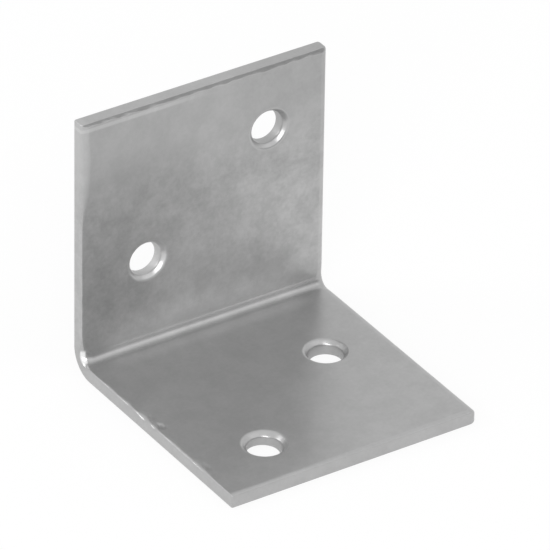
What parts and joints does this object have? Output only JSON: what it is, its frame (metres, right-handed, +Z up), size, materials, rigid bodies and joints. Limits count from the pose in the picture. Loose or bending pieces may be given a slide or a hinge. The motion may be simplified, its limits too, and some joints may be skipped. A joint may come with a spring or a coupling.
{
  "type": "corner brace bracket",
  "caption": "Right-angle corner brace bent from one strip of zinc-plated sheet steel, with countersunk screw holes set on a diagonal in each leg.",
  "frame": {"origin": "middle of the base leg's underside, which is the middle of the bottom of the bounding box", "axes": "+Z up along the upright leg; the base leg runs towards -Y; the outer face of the upright looks along +Y; X runs along the bend"},
  "size_m": [0.0396, 0.04, 0.04],
  "materials": {
    "zinc_plated_steel": "bright zinc plating, slightly mottled, sheared edges"
  },
  "bodies": {
    "root": {"bracket": "zinc_plated_steel"}
  },
  "joints": []
}
